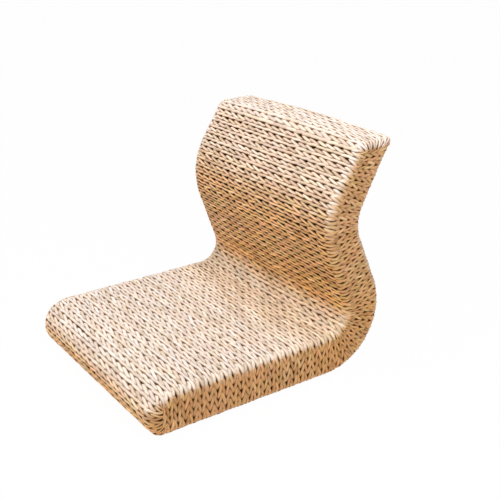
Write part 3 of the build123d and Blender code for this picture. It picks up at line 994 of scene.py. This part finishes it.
# %% Padding under the weave
LINING_DEPTH, SIDE_WADDING_DEPTH = 7.7 * MM, 13.8 * MM
FOAM_DEPTH, WADDING_DEPTH = 20.8 * MM, 12.8 * MM
LINING_ROUND, WOOD_ROUND, ROUND_STEPS = 6 * MM, 1 * MM, 4
PAD_SECTIONS, CLEAR = 120, 0.3 * MM
FLAT_SHARES = (0.75, 0.5, 0.25)


def pad_line(s, side, face_depth, side_depth, radius):
    """Points across one section of a pad, from one side's middle to the other's."""
    wide, tall = WIDTH / 2 - side_depth, half(s) - face_depth
    half_line = [(wide, 0.0), (wide, (tall - radius) / 2)]
    for step in range(ROUND_STEPS + 1):
        turn = pi / 2 * step / ROUND_STEPS
        half_line.append((wide - radius + radius * cos(turn), tall - radius + radius * sin(turn)))
    half_line += [((wide - radius) * share, tall) for share in FLAT_SHARES]
    line = half_line + [(0.0, tall)] + [(-x, w) for x, w in reversed(half_line)]
    return [(x, *profile(s, side * w)[:2]) for x, w in line]


def make_pad(name, stations, side, inner_depth):
    """Closed shell between the lining under the weave and the wood."""
    lines = []
    for s in stations:
        outer = pad_line(s, side, LINING_DEPTH, LINING_DEPTH, LINING_ROUND)
        inner = pad_line(s, side, inner_depth, SIDE_WADDING_DEPTH, WOOD_ROUND)
        lines.append(outer + inner[::-1])
    wide = len(lines[0])
    points = [point for line in lines for point in line]
    faces = tube_faces(len(lines), wide)
    last = (len(lines) - 1) * wide
    for c in range(wide // 2 - 1):
        faces.append((c, wide - 1 - c, wide - 2 - c, c + 1))
        faces.append((last + c, last + c + 1, last + wide - 2 - c, last + wide - 1 - c))
    return make_piece(name, points, faces)


core_stations = np.linspace(FRONT_CAP + CLEAR, CORE_END - CLEAR, PAD_SECTIONS)
pads = {
    "sitter_padding": make_pad("sitter_padding", core_stations, 1, FOAM_DEPTH),
    "rear_padding": make_pad("rear_padding", core_stations, -1, WADDING_DEPTH),
}

# %% [markdown]
# The two closed ends hold a block of foam each, rounded as the weave over it is. A rounded box
# could stand for it, but it would stick out of the nose's curve. So a block is a stack of rounded
# rectangles from the tip inwards, each as wide and as high as the end is at its depth.

# %% End padding
BLOCK_RING, BLOCK_STEPS, BLOCK_ROUND_SHARE = 24, 10, 0.4


def make_block(name, sections, place):
    """Closed block from sections of depth, lower and upper edge, and half width."""
    points, ring = [], BLOCK_RING
    for d, low, high, wide in sections:
        radius = min(LINING_ROUND, BLOCK_ROUND_SHARE * (high - low))
        for k in range(ring):
            quarter, step = divmod(k, ring // 4)
            turn = pi / 2 * (quarter + step / (ring // 4 - 1))
            x = (wide - radius) * (1, -1, -1, 1)[quarter] + radius * cos(turn)
            centre = high - radius if quarter < 2 else low + radius
            w = centre + radius * sin(turn)
            points.append((x, *place(x, d, w)))
    ends = [tuple(range(first, first + ring)) for first in (0, len(points) - ring)]
    return make_piece(name, points, tube_faces(len(sections), ring) + ends)


def top_place(x, share, w):
    """Place in the wedge of the top end, from its foot at share 0 to its face at 1."""
    end = rows_end(w) + (TOP_LAND - LINING_DEPTH * TOP_STRETCH)
    y, z = profile(CORE_END + CLEAR + share * (end - CORE_END - CLEAR), w)[:2]
    return y, z + share * top_crown(x, 0.5)


nose_sections, top_sections = [], []
top_height = (TOP_LAND + TOP_LEAD) / TOP_STRETCH - LINING_DEPTH
for step in range(1, BLOCK_STEPS + 1):
    share = 1 - cos(pi / 2 * step / BLOCK_STEPS)
    depth = LINING_DEPTH + (FRONT_CAP - CLEAR - LINING_DEPTH) * share
    corner = FRONT_CORNER - LINING_DEPTH
    narrow = corner * (1 - round_off(depth - LINING_DEPTH, corner))
    nose_sections.append(
        (depth, *nose_heights(depth, LINING_DEPTH), WIDTH / 2 - LINING_DEPTH - narrow))
    corner = TOP_ROUND - LINING_DEPTH
    drawn = LINING_DEPTH + corner * (1 - round_off(share * top_height, corner))
    top_sections.append(
        (1 - share, drawn - TOP_THICK / 2, TOP_THICK / 2 - drawn, WIDTH / 2 - drawn))
pads["front_end_padding"] = make_block(
    "front_end_padding", nose_sections, lambda x, d, w: (FRONT_Y + d, w))
pads["top_end_padding"] = make_block("top_end_padding", top_sections, top_place)

# %% [markdown]
# The lining is a dull brown cloth. It could be plain black, but light bounces between the strands
# and makes the holes of a weave brown. So the cloth is a very dark brown with a fine thread in it,
# and lighter where it lies open to the light from above.

# %% Lining cloth
LINING_DARK, LINING_THREAD = (0.022, 0.006, 0.001, 1.0), (0.045, 0.013, 0.002, 1.0)
LINING_LIT = (0.20, 0.085, 0.025, 1.0)
LIT_START, LIT_END = 0.6, 1.0
THREADS_PER_METRE = 900.0


def make_lining():
    """Dark cloth that shows through the holes of the weave."""
    lining, bench, shader = new_material("dark_lining")
    place = bench.node("ShaderNodeTexCoord", {}, {}, "Object")
    threads = noise(bench, place, THREADS_PER_METRE, 2.0)
    facing = bench.node("ShaderNodeNewGeometry", {}, {}, "Normal")
    # Painted light: the cloth is painted lighter where it faces up, as if lit from above.
    lit = soft_step(bench, axis(bench, facing, "Z"), LIT_START, LIT_END)
    dark = blend(bench, threads, LINING_DARK, LINING_THREAD)
    bench.fill(shader, {
        "Base Color": blend(bench, lit, dark, LINING_LIT), "Roughness": 0.95,
        "Specular IOR Level": 0.0, "Normal": relief(bench, threads, 0.4, 0.4 * MM),
    })
    print("lining", len(lining.node_tree.nodes), "nodes")
    return lining


lining = make_lining()
for pad in pads.values():
    pad.data.materials.append(lining)
    pad.data.shade_smooth()

# %% [markdown]
# The frame inside is birch plywood: two sides cut to the S, rails between them and thin boards
# under the padding. They could be modelled again with finer edges, but the weave hides them. The
# solids already have the right shape, so they only get a wood finish.

# %% Plywood
BIRCH = ((0.3, (0.50, 0.34, 0.19)), (0.55, (0.66, 0.49, 0.30)), (0.75, (0.74, 0.58, 0.38)))
GRAIN_STRETCH = (60.0, 9.0, 60.0)


def make_plywood():
    """Birch plywood with its grain along the chair's depth."""
    wood, bench, shader = new_material("birch_plywood")
    place = bench.node("ShaderNodeTexCoord", {}, {}, "Object")
    stretched = bench.node("ShaderNodeMapping", {}, {"Vector": place, "Scale": GRAIN_STRETCH})
    grain = noise(bench, stretched, 1.0, 5.0)
    bench.fill(shader, {
        "Base Color": ramp(bench, BIRCH, grain), "Roughness": 0.6 + grain * 0.2,
        "Normal": relief(bench, grain, 0.2, 0.3 * MM),
    })
    return wood


plywood = make_plywood()
WOOD_NODES = ("side_frame_left", "side_frame_right", "front_rail", "seat_rail", "bend_rail",
              "lower_back_rail", "lumbar_rail", "top_rail", "seat_board", "back_board",
              "base_board", "rear_board")
for name in WOOD_NODES:
    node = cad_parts[name]
    node.data.materials.clear()
    node.data.materials.append(plywood)
print(len(WOOD_NODES), "wooden pieces")

# %% [markdown]
# The forms and the single strands were tools, so they go. They could be hidden, but a clean file is
# easier to read. Every piece then rides on the chair's one body, since nothing on the chair moves,
# and the solids that it stands for are hidden.

# %% Put the pieces on the chair
strand_sets = (seat_strands, back_strands, side_strands)
for tools in (forms, *strand_sets):
    for tool in tools.values():
        bpy.data.objects.remove(tool)
STANDS_FOR = {
    "seat_front_weave": ("seat_rows",), "bend_front_weave": ("bend_inner_rows",),
    "lower_back_front_weave": ("lower_back_rows",), "lumbar_front_weave": ("lumbar_front_rows",),
    "upper_back_front_weave": ("upper_back_rows",), "bend_rear_weave": ("bend_outer_rows",),
    "lumbar_rear_weave": ("lumbar_rear_rows",), "front_end_rush": ("front_end_weave",),
    "top_end_rush": ("top_end_weave",),
    "sitter_padding": ("seat_foam", "back_foam"),
    "rear_padding": ("base_wadding", "rear_wadding", "side_wadding_left", "side_wadding_right"),
    "front_end_padding": ("front_edge_foam",), "top_end_padding": ("top_edge_foam",),
}
for name, piece in {**woven, **pads}.items():
    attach(piece, "root")
    if name in STANDS_FOR:
        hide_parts(*STANDS_FOR[name])
for name, piece in pads.items():
    "wadding" if name == "rear_padding" else "foam"
print(len(woven), "woven pieces and", len(pads), "pads")

# %% [markdown]
# The camera stands at the front left of the chair as the sitter sees it, and looks down on it at a
# slant. It could be placed by eye, but the outline then never fits. Its place, turn and lens were
# found by laying the chair's outline over the picture, and here they are only written down.

# %% Camera
AZIMUTH, ELEVATION, ROLL = radians(59.557), radians(24.086), radians(-0.905)
STAND_OFF = 1.5562
LENS_SHARE = 883.97 / 500
SENSOR, FAR = 36.0, 50.0
CHAIR_MIDDLE = Vector((0.0, FRONT_Y + 0.2185, 0.126))
AIM_RIGHT, AIM_UP = 0.09205, 0.0592
back = Vector((sin(AZIMUTH) * cos(ELEVATION), -cos(AZIMUTH) * cos(ELEVATION), sin(ELEVATION)))
right = Vector((cos(AZIMUTH), sin(AZIMUTH), 0.0))
up = back.cross(right)
stand = CHAIR_MIDDLE + back * STAND_OFF
aim = CHAIR_MIDDLE + right * AIM_RIGHT + up * AIM_UP
back = (stand - aim).normalized()
right = Vector((0.0, 0.0, 1.0)).cross(back).normalized()
up = back.cross(right)
turned_right = right * cos(ROLL) + up * sin(ROLL)
turned_up = up * cos(ROLL) - right * sin(ROLL)
camera = add_object("camera", bpy.data.cameras.new("camera"))
camera.data.sensor_width = SENSOR
camera.data.lens = SENSOR * LENS_SHARE
camera.data.clip_end = FAR
camera.matrix_world = Matrix((
    (turned_right.x, turned_up.x, back.x, stand.x),
    (turned_right.y, turned_up.y, back.y, stand.y),
    (turned_right.z, turned_up.z, back.z, stand.z),
    (0.0, 0.0, 0.0, 1.0),
))
bpy.context.scene.camera = camera
print("lens %.1f mm" % camera.data.lens)

# %% [markdown]
# A product picture has soft light and a white ground. A large soft lamp above lights the seat and
# the level top, a second one in front lights the back, and a small one fills the side that the
# camera sees. Stronger lamps could make the ground white, but they would bleach the rush. So the
# floor and the backdrop show white to the camera by themselves, and the floor keeps a soft shadow.

# %% Lamps
LAMPS = (
    # name, place, target, size and power in watts
    ("key", (0.25, -0.1, 2.0), (0.0, 0.0, 0.1), 1.2, 22.5),
    ("front", (-0.4, -1.6, 1.0), (0.0, 0.0, 0.2), 1.2, 11.0),
    ("fill", (1.4, -0.1, 1.2), (0.0, 0.0, 0.15), 0.8, 6.0),
)
for name, place, target, size, power in LAMPS:
    lamp = add_object(name, bpy.data.lights.new(name, "AREA"))
    lamp.data.shape, lamp.data.size = "SQUARE", size
    lamp.data.energy = power
    lamp.location = place
    lamp.rotation_euler = (Vector(target) - Vector(place)).to_track_quat("-Z", "Y").to_euler()
print(len(LAMPS), "lamps")

# %% Backdrop
WHITE = (1.0, 1.0, 1.0, 1.0)
ROOM_LIGHT = 0.32


def seen_rays(bench):
    """1 on rays that the camera, a mirror or clear glass shows, and 0 on light for the chair."""
    camera_ray, mirrored, through = (
        bench.node("ShaderNodeLightPath", {}, {}, "Is %s Ray" % kind)
        for kind in ("Camera", "Glossy", "Transmission"))
    return bench.math("MAXIMUM", bench.math("MAXIMUM", camera_ray, mirrored), through)


world = bpy.data.worlds.new("studio")
world.use_nodes = True
bpy.context.scene.world = world
bench = Wire(world.node_tree)
strength = ROOM_LIGHT + seen_rays(bench) * (1.0 - ROOM_LIGHT)
bench.fill(world.node_tree.nodes["Background"], {"Color": WHITE, "Strength": strength})
print("backdrop", len(world.node_tree.nodes), "nodes")

# %% Floor
FLOOR_REACH, FLOOR_HEIGHT = 6.0, -1 * MM
FLOOR_GREY, FLOOR_WHITE_SHARE = (0.86, 0.86, 0.86, 1.0), 0.98
FLOOR_CORNERS = ((-1, -1), (1, -1), (1, 1), (-1, 1))
corners = [(x * FLOOR_REACH, y * FLOOR_REACH, FLOOR_HEIGHT) for x, y in FLOOR_CORNERS]
floor = add_mesh("floor", corners, [(0, 1, 2, 3)])
paper, bench, shader = new_material("pale_floor")
bench.fill(shader, {"Base Color": FLOOR_GREY, "Roughness": 0.9, "Specular IOR Level": 0.1})
glow = bench.node("ShaderNodeEmission", {}, {"Color": WHITE, "Strength": 1.0}, "Emission")
surface = bench.node("ShaderNodeMixShader", {}, {
    0: seen_rays(bench) * FLOOR_WHITE_SHARE, 1: Wire(paper.node_tree, shader.outputs[0]), 2: glow,
})
bench.fill(paper.node_tree.nodes["Material Output"], {"Surface": surface})
floor.data.materials.append(paper)
print("floor", 2 * FLOOR_REACH, "m wide")
bpy.context.scene.view_settings.view_transform = "Standard"
